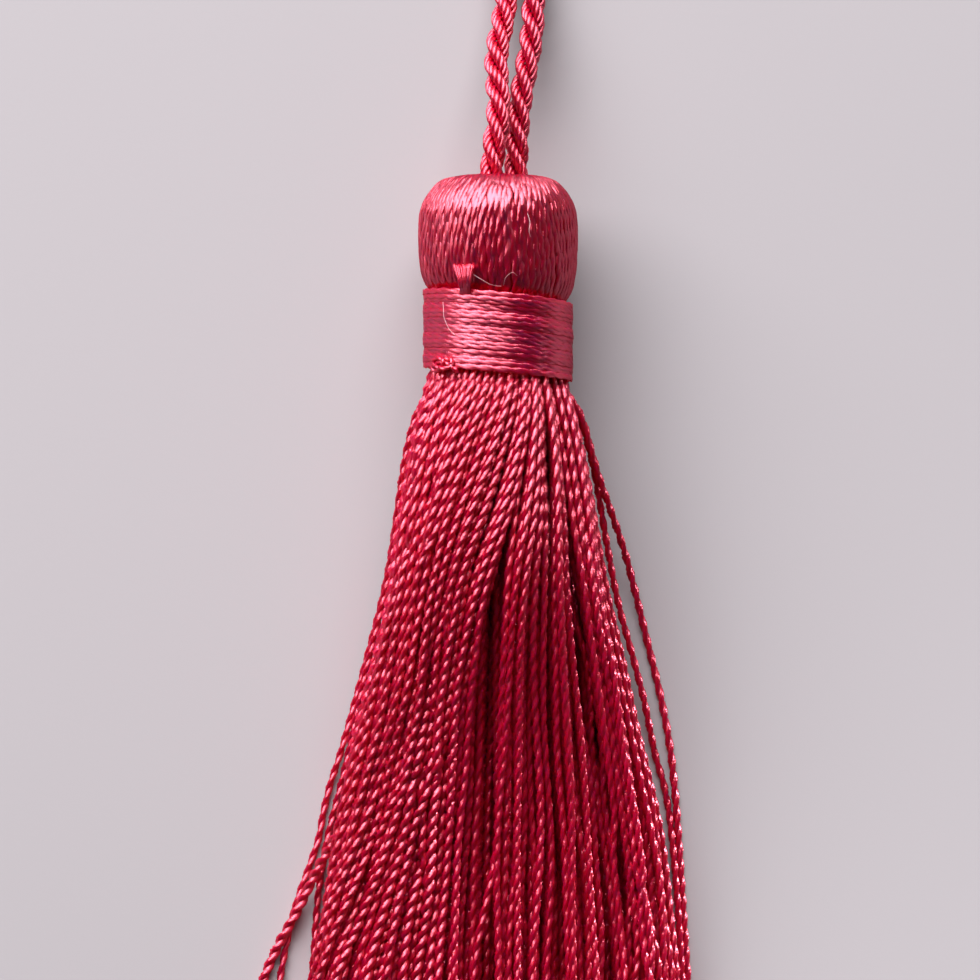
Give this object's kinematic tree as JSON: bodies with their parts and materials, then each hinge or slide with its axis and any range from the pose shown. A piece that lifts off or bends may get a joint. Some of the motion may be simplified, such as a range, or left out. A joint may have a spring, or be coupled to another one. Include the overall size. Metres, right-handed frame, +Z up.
{
  "type": "silk tassel",
  "caption": "Tassel of two-ply threads folded over a twisted hanging cord, with a rounded head, a wound binding and a long skirt, lying flat.",
  "frame": {"origin": "middle of the flat spot under the head, on the surface that the tassel lies on", "axes": "+Z up from that surface, +Y from the skirt's tips through the head to the hanging cord, +X to the right seen from above with the cord at the top"},
  "size_m": [0.0365, 0.1278, 0.0113],
  "materials": {
    "bundle_thread": "glossy twisted filament thread",
    "binding_thread": "glossy twisted filament thread",
    "cord_thread": "glossy three-ply cord"
  },
  "bodies": {
    "root": {"thread_bundle": "bundle_thread", "binding": "binding_thread", "hanging_cord": "cord_thread"}
  },
  "joints": []
}
